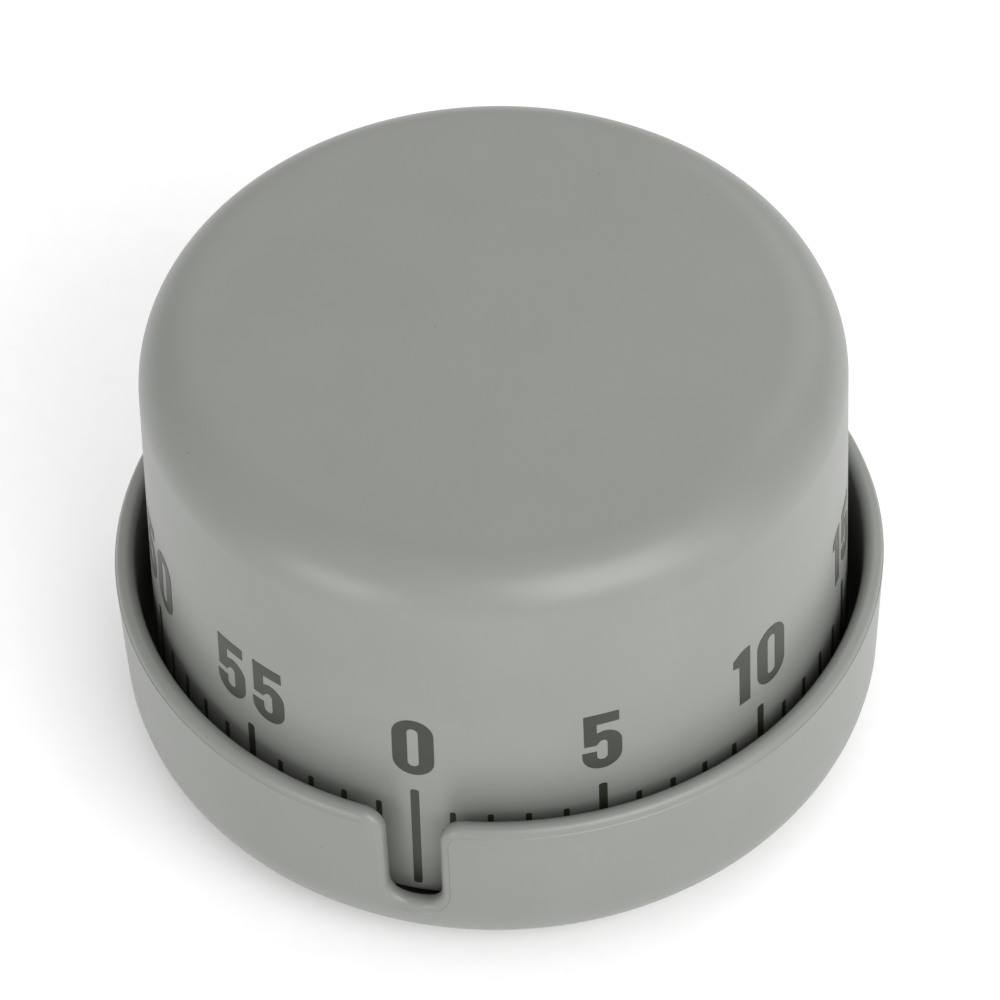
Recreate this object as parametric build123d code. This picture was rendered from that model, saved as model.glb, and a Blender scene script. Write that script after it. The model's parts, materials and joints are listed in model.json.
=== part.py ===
"""Clockwork kitchen timer: a round case, a turning dial cap and the movement that it winds.

Millimetres, +Z up, origin at the centre of the resting face. The reading notch in the case faces -Y.
The dial is modelled at zero. Winding turns it clockwise seen from above, which is negative about +Z.
"""
from build123d import *
import math
import os

# ---------------------------------------------------------------- driving dimensions
# Case
CASE_R = 38.0              # outer radius at the rim
CASE_FOOT_R = 37.7         # outer radius where the rounded bottom begins
CASE_WALL = 2.0
CASE_TOP = 20.8            # height of the rim
CASE_UNDER = 0.4           # the underside stands this far off the table on its ring
CASE_FLOOR = 2.8           # top of the floor
CASE_ROUND = 8.3           # outer bottom round
RIM_ROUND = 0.8
NOTCH_HALF = 2.7
NOTCH_BOTTOM = 8.4
NOTCH_CORNER = 2.4
SOUND_SLOTS = 16
SLOT_FROM = 9.0            # radius where each sound slot begins
SLOT_TO = 17.5             # radius where it ends
SLOT_HALF = 0.8
BOSS_R = 2.8
BOSS_PCR = 28.0
BOSS_ANGLES = (40, 160, 280)
SCREW_R = 1.1
SCREW_HEAD_R = 2.1

# Dial cap
CAP_TOP = 50.35
CAP_BOTTOM = 7.2
CAP_R_BOTTOM = 34.7
CAP_R_TOP = 33.84
CAP_WALL = 2.0
CAP_ROUND = 6.0
HUB_R = 5.0
STOP_R = 30.6              # radius where the dial's rib meets the fixed stop
STOP_WIDTH = 1.5
STOP_ANGLE = 75.0
STOP_GAP = 3.0             # the dial's rib stands this many degrees off the stop at zero

# Non-slip ring
RING_IN = 24.5
RING_OUT = 28.0
RING_DEPTH = 1.0           # how far it is let into the case
RING_PLAY = 0.05

# Movement plates
PLATE = 1.0                # sheet thickness
LOWER_Z = 13.0             # underside of the bottom plate
UPPER_Z = 30.0             # underside of the top plate
LOWER_R = 30.6
UPPER_R = 27.0
LOWER_BORE = (0.0, 20.0)   # span of the cutters that go through the bottom plate
UPPER_BORE = (20.0, 40.0)  # span of the cutters that go through the top plate
PILLAR_R = 1.8
PILLAR_FOOT_R = 1.1        # riveted end of a pillar
PILLAR_TOP_R = 1.0         # threaded end of a pillar
PILLAR_PLACES = ((25.2, -92), (25.2, 18), (24.0, 110), (24.0, 190))

# Fits
RUN = 0.05                 # radial running clearance
PRESS = 0.01               # radial allowance drawn at pressed joints
BACKLASH = 0.11

# Wheel train: pitch module of each mesh, and tooth counts
GREAT_TEETH, SECOND_TEETH, THIRD_TEETH, FOURTH_TEETH = 60, 50, 50, 40
LEAVES = 10
ESCAPE_TEETH = 15
MODULE_1, MODULE_2, MODULE_3, MODULE_4 = 0.40, 0.35, 0.30, 0.30
WINDOW_2, WINDOW_3, WINDOW_4 = 2.1, 1.8, 1.3
ARBOR_R = 0.9
PIVOT_R = 0.6
END_SHAKE = 0.15           # axial play of an arbor between the plates

# Main arbor and what is on it
MAIN_R = 3.0
MAIN_PIVOT_R = 1.5
FLAT_R = 2.5               # driving end of the arbor
FLAT_AT = 1.8              # how far its flat is from the axis
ARBOR_SHOULDER = 37.0
ARBOR_TOP = 46.5
CAM_R = 12.0
SPRING_POST_R = 0.9
RATCHET_TEETH = 20
RATCHET_R = 6.0
RATCHET_ROOT = 5.0
CLICK_RIVET_R = 0.7
CLICK_HALF = 0.35

# Escapement
ESCAPE_R = 6.0
ESCAPE_ROOT = 4.7
SPAN_TEETH = 4.5           # teeth between the two pallet pins
PIN_R = 0.22

# Strike work
HEAD_R = 2.0
HEAD_GAP = 0.8             # the hammer rests this far off the bell
HEAD_ANGLE = -96.0
STAR_R = 2.5
STAR_ROOT = 1.5
STAR_PHASE = 15.0          # turns a gap between two points towards the hammer's tail at rest
HAMMER_R = 0.8
LEVER_RIVET_R = 0.9
LEVER_STUD_R = 1.2
SPRING_WIRE = 0.4

# Bell
BELL_CENTRE = (-1.5, 4.5)
BELL_R = 22.0
BELL_LOW = 4.7
BELL_RIM = 12.0
BELL_WALL = 0.8
BELL_TURN = 6.0            # round between the bell's crown and side
BELL_BORE = 1.4
BELL_THREAD_R = 1.25

SLOPE = math.sqrt(0.5)      # sine and cosine of 45 degrees, for the middle of a quarter arc


# ---------------------------------------------------------------- small helpers
def polar(radius, degrees):
    """Point at a radius and an angle from the centre of the movement."""
    return (radius * math.cos(math.radians(degrees)), radius * math.sin(math.radians(degrees)))


def disc(radius, low, high, at=(0, 0)):
    """Upright cylinder between two heights."""
    low_centre = (Align.CENTER, Align.CENTER, Align.MIN)
    return Pos(at[0], at[1], low) * Cylinder(radius, high - low, align=low_centre)


def washer(inner, outer, low, high, at=(0, 0)):
    """Upright ring between two heights."""
    return disc(outer, low, high, at) - disc(inner, low - 1, high + 1, at)


def block(x_range, y_range, z_range):
    """Box given by its three spans."""
    size = [span[1] - span[0] for span in (x_range, y_range, z_range)]
    middle = [(span[1] + span[0]) / 2 for span in (x_range, y_range, z_range)]
    return Pos(*middle) * Box(*size)


def link(start, end, half_width, low, high):
    """Flat bar with round ends from one point to another."""
    length = math.dist(start, end)
    turn = math.degrees(math.atan2(end[1] - start[1], end[0] - start[0]))
    middle = ((start[0] + end[0]) / 2, (start[1] + end[1]) / 2)
    face = SlotCenterToCenter(length, 2 * half_width)
    return Pos(middle[0], middle[1], low) * Rot(0, 0, turn) * extrude(face, high - low)


def wire(points, radius):
    """Round wire through points that are joined by straight runs, with ball corners."""
    rod = None
    for start, end in zip(points[:-1], points[1:]):
        axis = Vector(*end) - Vector(*start)
        piece = Plane(origin=start, z_dir=axis) * Cylinder(
            radius, axis.length, align=(Align.CENTER, Align.CENTER, Align.MIN))
        rod = piece if rod is None else rod + piece
    for corner in points[1:-1]:
        rod += Pos(*corner) * Sphere(radius)
    return rod


def save(name, shape):
    """Write one node."""
    export_step(shape, os.path.join("parts", name + ".step"))


# ---------------------------------------------------------------- places of the arbors
def beside(radius_from, angle_from, radius_to, distance):
    """Angle of an arbor at radius_to that lies a given distance on from another arbor."""
    cosine = (radius_from ** 2 + radius_to ** 2 - distance ** 2) / (2 * radius_from * radius_to)
    return angle_from + math.degrees(math.acos(cosine))


GAP_1 = MODULE_1 * (GREAT_TEETH + LEAVES) / 2
GAP_2 = MODULE_2 * (SECOND_TEETH + LEAVES) / 2
GAP_3 = MODULE_3 * (THIRD_TEETH + LEAVES) / 2
GAP_4 = MODULE_4 * (FOURTH_TEETH + LEAVES) / 2
GAP_PALLET = 8.0
SECOND_ANGLE = -110.0
THIRD_RADIUS = 17.5
OUTER_RADIUS = 19.0
THIRD_ANGLE = beside(GAP_1, SECOND_ANGLE, THIRD_RADIUS, GAP_2)
FOURTH_ANGLE = beside(THIRD_RADIUS, THIRD_ANGLE, OUTER_RADIUS, GAP_3)
ESCAPE_ANGLE = beside(OUTER_RADIUS, FOURTH_ANGLE, OUTER_RADIUS, GAP_4)
PALLET_ANGLE = beside(OUTER_RADIUS, ESCAPE_ANGLE, OUTER_RADIUS, GAP_PALLET)
CENTRE = (0.0, 0.0)
SECOND_AT = polar(GAP_1, SECOND_ANGLE)
THIRD_AT = polar(THIRD_RADIUS, THIRD_ANGLE)
FOURTH_AT = polar(OUTER_RADIUS, FOURTH_ANGLE)
ESCAPE_AT = polar(OUTER_RADIUS, ESCAPE_ANGLE)
PALLET_AT = polar(OUTER_RADIUS, PALLET_ANGLE)
HAMMER_AT = polar(25.0, -60.0)
LEVER_AT = (-9.75, -15.2)
SPRING_POST_AT = polar(13.6, 60.0)
TRAIN_ARBORS = (SECOND_AT, THIRD_AT, FOURTH_AT, ESCAPE_AT, PALLET_AT)
CLICK_AT = polar(7.9, 138)
CLICK_ELBOW = polar(6.9, 100)
CLICK_NOSE = polar(5.62, 96.2)
HEAD_OFF = polar(BELL_R + HEAD_R + HEAD_GAP, HEAD_ANGLE)
HEAD_AT = (BELL_CENTRE[0] + HEAD_OFF[0], BELL_CENTRE[1] + HEAD_OFF[1])

# Heights in the movement
SPRING_Z = (15.0, 22.0)
CLIP_Z = (23.0, 23.4)
GREAT_Z = (23.6, 24.8)
RATCHET_Z = (25.0, 26.0)
SECOND_Z = (27.2, 28.2)
THIRD_Z = (25.4, 26.2)
FOURTH_Z = (20.0, 20.8)
STAR_Z = (22.0, 23.0)
ESCAPE_Z = (17.0, 17.8)
PALLET_Z = (18.2, 19.0)
BALANCE_Z = (21.8, 23.0)
CAM_Z = (32.4, 33.4)
LEVER_Z = (32.4, 33.2)
HAMMER_Z = (8.2, 12.0)
SECOND_LEAF_Z = (22.9, 25.5)
THIRD_LEAF_Z = (26.7, 28.7)
FOURTH_LEAF_Z = (24.9, 26.7)
ESCAPE_LEAF_Z = (19.5, 21.3)


# ---------------------------------------------------------------- case and dial
def base_cup():
    """Moulded cup with a round bottom, the reading notch, sound slots and three screw bosses."""
    side_low = CASE_UNDER + CASE_ROUND
    flat_r = CASE_FOOT_R - CASE_ROUND
    inner_r = CASE_R - CASE_WALL
    inner_low_r = CASE_FOOT_R - CASE_WALL
    inner_round = CASE_ROUND - CASE_WALL
    outer = [
        Line((0, CASE_UNDER), (flat_r, CASE_UNDER)),
        ThreePointArc((flat_r, CASE_UNDER), (flat_r + CASE_ROUND * SLOPE, side_low - CASE_ROUND * SLOPE),
                      (CASE_FOOT_R, side_low)),
        Line((CASE_FOOT_R, side_low), (CASE_R, CASE_TOP - RIM_ROUND)),
        ThreePointArc((CASE_R, CASE_TOP - RIM_ROUND),
                      (CASE_R - RIM_ROUND * (1 - SLOPE), CASE_TOP - RIM_ROUND * (1 - SLOPE)),
                      (CASE_R - RIM_ROUND, CASE_TOP)),
    ]
    inner_turn = inner_low_r - inner_round
    inner_side = CASE_FLOOR + inner_round
    inner = [
        Line((CASE_R - RIM_ROUND, CASE_TOP), (inner_r + RIM_ROUND, CASE_TOP)),
        ThreePointArc((inner_r + RIM_ROUND, CASE_TOP),
                      (inner_r + RIM_ROUND * (1 - SLOPE), CASE_TOP - RIM_ROUND * (1 - SLOPE)),
                      (inner_r, CASE_TOP - RIM_ROUND)),
        Line((inner_r, CASE_TOP - RIM_ROUND), (inner_low_r, inner_side)),
        ThreePointArc((inner_low_r, inner_side),
                      (inner_turn + inner_round * SLOPE, inner_side - inner_round * SLOPE),
                      (inner_turn, CASE_FLOOR)),
        Line((inner_turn, CASE_FLOOR), (0, CASE_FLOOR)),
        Line((0, CASE_FLOOR), (0, CASE_UNDER)),
    ]
    profile = Plane.XZ * make_face(Curve() + outer + inner)
    cup = revolve(profile, Axis.Z, 360)
    cup -= notch_cutter()
    cup -= washer(RING_IN, RING_OUT, CASE_UNDER - 1, CASE_UNDER + RING_DEPTH)
    for step in range(SOUND_SLOTS):
        cup -= sound_slot(step * 360 / SOUND_SLOTS)
    for degrees in BOSS_ANGLES:
        at = polar(BOSS_PCR, degrees)
        cup += disc(BOSS_R, CASE_FLOOR - 0.2, LOWER_Z, at)
        cup -= disc(SCREW_R, CASE_FLOOR + 1.5, LOWER_Z + 1, at)
    return cup


def sound_slot(degrees):
    """Cutter for one radial slot in the floor."""
    return link(polar(SLOT_FROM, degrees), polar(SLOT_TO, degrees), SLOT_HALF, CASE_UNDER - 1, CASE_FLOOR + 1)


def notch_cutter():
    """U-shaped window through the front wall, with rounded shoulders where it meets the rim."""
    half, bottom, corner, top = NOTCH_HALF, NOTCH_BOTTOM, NOTCH_CORNER, CASE_TOP
    inset = corner * (1 - SLOPE)
    right = [
        Line((0, bottom), (half - corner, bottom)),
        ThreePointArc((half - corner, bottom), (half - inset, bottom + inset), (half, bottom + corner)),
        Line((half, bottom + corner), (half, top - corner)),
        ThreePointArc((half, top - corner), (half + inset, top - inset), (half + corner, top)),
        Line((half + corner, top), (half + corner, top + 1)),
        Line((half + corner, top + 1), (0, top + 1)),
        Line((0, top + 1), (0, bottom)),
    ]
    face = make_face(Curve() + right)
    prism = extrude(Plane.XZ * face, CASE_R + 2)
    return prism + mirror(prism, Plane.YZ)


def dial_cap():
    """Moulded cap that is the dial: skirt, flat top, hub for the arbor and the stop rib."""
    inner_round = CAP_ROUND - CAP_WALL
    side_top = CAP_TOP - CAP_ROUND
    ceiling = CAP_TOP - CAP_WALL
    inner_bottom = CAP_R_BOTTOM - CAP_WALL
    inner_top = CAP_R_TOP - CAP_WALL
    edges = [
        Line((0, CAP_TOP), (CAP_R_TOP - CAP_ROUND, CAP_TOP)),
        ThreePointArc((CAP_R_TOP - CAP_ROUND, CAP_TOP),
                      (CAP_R_TOP - CAP_ROUND * (1 - SLOPE), CAP_TOP - CAP_ROUND * (1 - SLOPE)),
                      (CAP_R_TOP, side_top)),
        Line((CAP_R_TOP, side_top), (CAP_R_BOTTOM, CAP_BOTTOM)),
        Line((CAP_R_BOTTOM, CAP_BOTTOM), (inner_bottom, CAP_BOTTOM)),
        Line((inner_bottom, CAP_BOTTOM), (inner_top, ceiling - inner_round)),
        ThreePointArc((inner_top, ceiling - inner_round),
                      (inner_top - inner_round * (1 - SLOPE), ceiling - inner_round * (1 - SLOPE)),
                      (inner_top - inner_round, ceiling)),
        Line((inner_top - inner_round, ceiling), (0, ceiling)),
        Line((0, ceiling), (0, CAP_TOP)),
    ]
    profile = Plane.XZ * make_face(Curve() + edges)
    cap = revolve(profile, Axis.Z, 360)
    cap += disc(HUB_R, ARBOR_SHOULDER + 0.02, ceiling + 0.5)
    cap -= flatted_shaft(PRESS, ARBOR_SHOULDER - 1, ARBOR_TOP + 0.3)
    rib = block((STOP_R - 1.4, CAP_R_TOP - 1.0), (-STOP_WIDTH / 2, STOP_WIDTH / 2), (33.0, ceiling - 3.5))
    cap += Rot(0, 0, STOP_ANGLE - STOP_GAP) * rib
    return cap


def flatted_shaft(extra, low, high):
    """The arbor's driving end: a round shaft with one flat."""
    shaft = disc(FLAT_R + extra, low, high)
    return shaft - block((FLAT_AT + extra, 9), (-9, 9), (low - 1, high + 1))


def non_slip_ring():
    """Rubber ring let into the underside; the timer stands on it."""
    return washer(RING_IN + RING_PLAY, RING_OUT - RING_PLAY, 0, CASE_UNDER + RING_DEPTH - 0.02)


# ---------------------------------------------------------------- frame of the movement
def bottom_plate():
    """Stamped plate that carries the lower pivots and is screwed to the case."""
    plate = disc(LOWER_R, LOWER_Z, LOWER_Z + PLATE)
    plate -= disc(MAIN_PIVOT_R + RUN, *LOWER_BORE)
    for at in TRAIN_ARBORS:
        plate -= disc(PIVOT_R + RUN, *LOWER_BORE, at)
    plate -= disc(HAMMER_R + RUN, *LOWER_BORE, HAMMER_AT)
    for radius, degrees in PILLAR_PLACES:
        plate -= disc(PILLAR_FOOT_R + PRESS, *LOWER_BORE, polar(radius, degrees))
    for degrees in BOSS_ANGLES:
        plate -= disc(1.45, *LOWER_BORE, polar(BOSS_PCR, degrees))
    plate -= disc(BELL_BORE + PRESS, *LOWER_BORE, BELL_CENTRE)
    plate -= disc(SPRING_POST_R + PRESS, *LOWER_BORE, SPRING_POST_AT)
    for degrees in (60, 135, 230):
        plate -= link(polar(21.5, degrees - 12), polar(21.5, degrees + 12), 2.0, *LOWER_BORE)
    return plate


def top_plate():
    """Stamped plate that carries the upper pivots, with the bent-up ear that stops the dial."""
    plate = disc(UPPER_R, UPPER_Z, UPPER_Z + PLATE)
    ear = block((UPPER_R - 3, STOP_R + 0.9), (-2.2, 2.2), (UPPER_Z, UPPER_Z + PLATE))
    lug = block((STOP_R - 1.0, STOP_R + 0.9), (-STOP_WIDTH / 2, STOP_WIDTH / 2),
                (UPPER_Z + PLATE - 0.5, UPPER_Z + 6.5))
    plate += Rot(0, 0, STOP_ANGLE) * (ear + lug)
    plate -= disc(MAIN_R + RUN, *UPPER_BORE)
    for at in TRAIN_ARBORS:
        plate -= disc(PIVOT_R + RUN, *UPPER_BORE, at)
    plate -= disc(HAMMER_R + RUN, *UPPER_BORE, HAMMER_AT)
    for radius, degrees in PILLAR_PLACES:
        plate -= disc(PILLAR_TOP_R + RUN, *UPPER_BORE, polar(radius, degrees))
    plate -= disc(LEVER_RIVET_R + PRESS, *UPPER_BORE, LEVER_AT)
    for degrees in (45, 150):
        plate -= link(polar(15, degrees - 22), polar(15, degrees + 22), 3.0, *UPPER_BORE)
    return plate


def pillars():
    """Four turned spacers, riveted into the bottom plate and threaded at the top."""
    group = []
    for radius, degrees in PILLAR_PLACES:
        at = polar(radius, degrees)
        pillar = disc(PILLAR_R, LOWER_Z + PLATE, UPPER_Z, at)
        pillar += disc(PILLAR_FOOT_R, LOWER_Z, LOWER_Z + PLATE + 0.2, at)
        pillar += disc(PILLAR_TOP_R, UPPER_Z - 0.2, UPPER_Z + PLATE + 1.6, at)
        group.append(pillar)
    return Compound(children=group)


def pillar_nuts():
    """Four hexagon nuts that clamp the top plate on the pillars."""
    group = []
    for radius, degrees in PILLAR_PLACES:
        x, y = polar(radius, degrees)
        low = UPPER_Z + PLATE
        nut = Pos(x, y, low) * extrude(RegularPolygon(2.2, 6), 1.4)
        group.append(nut - disc(PILLAR_TOP_R + PRESS, low - 1, low + 3, (x, y)))
    return Compound(children=group)


def movement_screws():
    """Three pan-head screws from the bottom plate into the bosses of the case."""
    group = []
    for degrees in BOSS_ANGLES:
        at = polar(BOSS_PCR, degrees)
        top = LOWER_Z + PLATE
        screw = disc(SCREW_R - PRESS, LOWER_Z - 7, top + 0.2, at) + disc(SCREW_HEAD_R, top, top + 1.3, at)
        head_slot = block((at[0] - 3, at[0] + 3), (at[1] - 0.3, at[1] + 0.3), (top + 0.7, top + 2))
        group.append(screw - head_slot)
    return Compound(children=group)


# ---------------------------------------------------------------- main arbor and its fittings
def main_arbor():
    """Winding arbor: lower pivot, body with a clip groove, and the flatted end for the cap."""
    arbor = disc(MAIN_PIVOT_R, LOWER_Z - 0.5, LOWER_Z + PLATE + 1)
    arbor += disc(MAIN_R, LOWER_Z + PLATE + END_SHAKE, ARBOR_SHOULDER)
    arbor += flatted_shaft(0, ARBOR_SHOULDER - 0.5, ARBOR_TOP)
    arbor -= washer(FLAT_R, MAIN_R + 1, CLIP_Z[0] - 0.03, CLIP_Z[1] + 0.03)
    return arbor


def wheel_clip():
    """Open clip in the arbor's groove; it keeps the great wheel up against the ratchet."""
    clip = washer(FLAT_R + PRESS, 4.6, *CLIP_Z)
    return clip - block((0, 6), (-1.6, 1.6), (CLIP_Z[0] - 1, CLIP_Z[1] + 1))


def mainspring():
    """Flat spiral spring, hooked on the arbor inside and round its post outside."""
    inner_r, outer_r, turns, thick = 3.7, 11.7, 8, 0.35
    start = 60 - 360 * turns
    outline = []
    for side in (0, thick):
        count = turns * 12
        points = []
        for step in range(count + 1):
            radius = inner_r + (outer_r - inner_r) * step / count + side
            points.append(polar(radius, start + 360 * turns * step / count))
        outline.append(points)
    inner_edge, outer_edge = Spline(outline[0]), Spline(outline[1])
    ends = [Line(outline[0][0], outline[1][0]), Line(outline[0][-1], outline[1][-1])]
    strip = extrude(make_face(Curve() + [inner_edge, outer_edge] + ends), SPRING_Z[1] - SPRING_Z[0])
    spring = Pos(0, 0, SPRING_Z[0]) * strip
    hook_out = link(polar(outer_r + 0.1, 60.5), polar(12.5, 60), 0.17, *SPRING_Z)
    hook_in = link(polar(inner_r + 0.1, start - 0.5), polar(MAIN_R + 0.25, start), 0.17, *SPRING_Z)
    return spring + hook_out + hook_in


def spring_post():
    """Post on the bottom plate that holds the outer end of the mainspring."""
    foot = disc(SPRING_POST_R, LOWER_Z, LOWER_Z + PLATE + 0.1, SPRING_POST_AT)
    return foot + disc(SPRING_POST_R - 0.05, LOWER_Z + PLATE, SPRING_Z[1] + 0.6, SPRING_POST_AT)


def letoff_cam():
    """Disc pressed on the arbor; its notch lets the release lever drop when the dial is back at zero."""
    cam = washer(MAIN_R + PRESS, CAM_R, *CAM_Z)
    return cam - block((-1.9, 1.9), (-CAM_R - 1, -CAM_R + 1.9), (CAM_Z[0] - 1, CAM_Z[1] + 1))


# ---------------------------------------------------------------- toothed wheels
def tooth_outline(teeth, module, addendum, dedendum, phase):
    """Closed list of points of an involute gear; phase is the angle of one tooth's centre in radians."""
    pressure = math.radians(20)
    pitch_r = module * teeth / 2
    base_r = pitch_r * math.cos(pressure)
    tip_r = pitch_r + addendum * module
    root_r = pitch_r - dedendum * module
    start_r = max(base_r, root_r)
    half_tooth = (math.pi * module / 2 - BACKLASH / 2) / (2 * pitch_r)

    def involute(angle):
        return math.tan(angle) - angle

    def half_angle(radius):
        return half_tooth + involute(pressure) - involute(math.acos(min(1.0, base_r / radius)))

    steps = [start_r + (tip_r - start_r) * k / 3 for k in range(4)]
    flank = [(radius, half_angle(radius)) for radius in steps]
    if root_r < base_r:
        flank.insert(0, (root_r, half_angle(base_r)))
    points = []
    for tooth in range(teeth):
        centre = phase + 2 * math.pi * tooth / teeth
        for radius, angle in flank:
            points.append((radius * math.cos(centre - angle), radius * math.sin(centre - angle)))
        for radius, angle in reversed(flank):
            points.append((radius * math.cos(centre + angle), radius * math.sin(centre + angle)))
    return points


def toothed_plate(points, low, high, at):
    """Flat plate with the outline given about its own centre."""
    face = make_face(Polyline(*points, close=True))
    return Pos(at[0], at[1], low) * extrude(face, high - low)


def wheel(teeth, module, span, at, phase, bore, window_r):
    """Stamped brass wheel with four windows."""
    gear = toothed_plate(tooth_outline(teeth, module, 0.6, 1.25, phase), *span, at)
    gear -= disc(bore, span[0] - 1, span[1] + 1, at)
    pitch_r = module * teeth / 2
    for quarter in range(4):
        dx, dy = polar(pitch_r * 0.56, 45 + 90 * quarter)
        gear -= disc(window_r, span[0] - 1, span[1] + 1, (at[0] + dx, at[1] + dy))
    return gear


def pinion_arbor(module, leaf_span, at, phase):
    """Steel arbor with its pinion leaves cut from the same bar, and a pivot at each end."""
    low, high = LOWER_Z + PLATE + END_SHAKE, UPPER_Z - END_SHAKE
    arbor = disc(ARBOR_R, low, high, at)
    arbor += disc(PIVOT_R, LOWER_Z, UPPER_Z + PLATE, at)
    return arbor + toothed_plate(tooth_outline(LEAVES, module, 1.0, 0.85, phase), *leaf_span, at)


def direction(start, end):
    """Angle in radians from one arbor to another."""
    return math.atan2(end[1] - start[1], end[0] - start[0])


def mesh_phase(teeth_from, phase_from, at_from, teeth_to, at_to):
    """Tooth phase that puts a gap of the second gear at a tooth of the first."""
    towards = direction(at_from, at_to)
    return towards + math.pi + math.pi / teeth_to - (phase_from - towards) * teeth_from / teeth_to


SECOND_PHASE = mesh_phase(GREAT_TEETH, 0, CENTRE, LEAVES, SECOND_AT)
THIRD_PHASE = mesh_phase(SECOND_TEETH, 0, SECOND_AT, LEAVES, THIRD_AT)
FOURTH_PHASE = mesh_phase(THIRD_TEETH, 0, THIRD_AT, LEAVES, FOURTH_AT)
ESCAPE_PHASE = mesh_phase(FOURTH_TEETH, 0, FOURTH_AT, LEAVES, ESCAPE_AT)


def pointed_wheel(teeth, tip_r, root_r, lean, phase):
    """Outline of a wheel with leaning pointed teeth: one steep face and one long back."""
    points = []
    pitch = 360 / teeth
    for tooth in range(teeth):
        centre = phase + pitch * tooth
        points.append(polar(root_r, centre - lean))
        points.append(polar(tip_r, centre))
        points.append(polar(tip_r, centre + pitch * 0.05))
        points.append(polar(root_r, centre + pitch * 0.55))
    return points


def ratchet_wheel():
    """Ratchet pressed on the arbor; its steep faces look the way that the spring drives."""
    mirrored = [(x, -y) for x, y in pointed_wheel(RATCHET_TEETH, RATCHET_R, RATCHET_ROOT, 0.8, -91)]
    plate = toothed_plate(mirrored, *RATCHET_Z, CENTRE)
    return plate - disc(MAIN_R + PRESS, *UPPER_BORE)


def great_wheel():
    """Great wheel, free on the arbor and driven through the click."""
    gear = toothed_plate(tooth_outline(GREAT_TEETH, MODULE_1, 0.6, 1.25, 0), *GREAT_Z, CENTRE)
    gear -= disc(MAIN_R + RUN, *UPPER_BORE)
    return gear - disc(CLICK_RIVET_R + PRESS, *UPPER_BORE, CLICK_AT)


def click():
    """Pawl on the great wheel."""
    low, high = RATCHET_Z
    pawl = disc(1.2, low, high, CLICK_AT) + link(CLICK_AT, CLICK_ELBOW, CLICK_HALF, low, high)
    pawl += link(CLICK_ELBOW, CLICK_NOSE, CLICK_HALF, low, high)
    return pawl - disc(CLICK_RIVET_R + RUN, low - 1, high + 1, CLICK_AT)


def click_rivet():
    """Shouldered rivet that the click swings on."""
    shank = disc(CLICK_RIVET_R, GREAT_Z[0], RATCHET_Z[1] + 0.3, CLICK_AT)
    return shank + disc(1.1, RATCHET_Z[1] + 0.08, RATCHET_Z[1] + 0.5, CLICK_AT)


def click_spring():
    """Bent wire on the great wheel that presses the click into the ratchet."""
    top = GREAT_Z[1] + 0.35
    foot = polar(8.8, 60)
    middle = polar(9.0, 85)
    tip = polar(9.0, 110)
    return wire([(foot[0], foot[1], GREAT_Z[1] + 0.02), (*foot, top), (*middle, top), (*tip, top)], 0.18)


# ---------------------------------------------------------------- escapement
def pallet_pin_places():
    """Two pins that span four and a half teeth, just outside the escape wheel's tip circle."""
    reach = ESCAPE_R + PIN_R + 0.1
    towards = math.degrees(direction(ESCAPE_AT, PALLET_AT))
    half_span = SPAN_TEETH * 360 / ESCAPE_TEETH / 2
    places = []
    for side in (-1, 1):
        dx, dy = polar(reach, towards + side * half_span)
        places.append((ESCAPE_AT[0] + dx, ESCAPE_AT[1] + dy))
    return places


def escape_wheel():
    """Fifteen pointed teeth; at rest both pallet pins stand opposite gaps."""
    towards = math.degrees(direction(ESCAPE_AT, PALLET_AT))
    pitch = 360 / ESCAPE_TEETH
    phase = towards + SPAN_TEETH * pitch / 2 + pitch * 0.18
    points = pointed_wheel(ESCAPE_TEETH, ESCAPE_R, ESCAPE_ROOT, -1.5, phase)
    gear = toothed_plate(points, *ESCAPE_Z, ESCAPE_AT)
    return gear - disc(ARBOR_R + PRESS, ESCAPE_Z[0] - 1, ESCAPE_Z[1] + 1, ESCAPE_AT)


def pallet_lever():
    """Flat anchor above the escape wheel that carries the two pins."""
    low, high = PALLET_Z
    lever = disc(1.7, low, high, PALLET_AT)
    for place in pallet_pin_places():
        lever += link(PALLET_AT, place, 0.65, low, high)
        lever -= disc(PIN_R + PRESS, low - 1, high + 1, place)
    return lever - disc(ARBOR_R + PRESS, low - 1, high + 1, PALLET_AT)


def pallet_pins():
    """Two hardened pins."""
    return Compound(children=[disc(PIN_R, ESCAPE_Z[0] - 0.2, PALLET_Z[1], at) for at in pallet_pin_places()])


def plain_arbor(radius, low, high, at):
    """Arbor with a pivot at each end, for what has no pinion."""
    return disc(radius, low, high, at) + disc(PIVOT_R, LOWER_Z, UPPER_Z + PLATE, at)


def balance_bar():
    """Brass bar whose inertia sets the beat."""
    x, y = PALLET_AT
    bar = link((x, y - 4.2), (x, y + 4.2), 1.2, *BALANCE_Z)
    return bar - disc(ARBOR_R + PRESS, BALANCE_Z[0] - 1, BALANCE_Z[1] + 1, PALLET_AT)


# ---------------------------------------------------------------- strike work
def strike_star():
    """Six-point star on the fourth arbor that kicks the hammer's tail."""
    points = []
    for corner in range(12):
        points.append(polar(STAR_R if corner % 2 else STAR_ROOT, 30 * corner + STAR_PHASE))
    star = toothed_plate(points, *STAR_Z, FOURTH_AT)
    return star - disc(ARBOR_R + PRESS, *UPPER_BORE, FOURTH_AT)


def hammer_arbor():
    """Long arbor through both plates, down to the hammer and up to the stop arm."""
    return disc(HAMMER_R, HAMMER_Z[0] + 0.4, LEVER_Z[1], HAMMER_AT)


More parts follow.
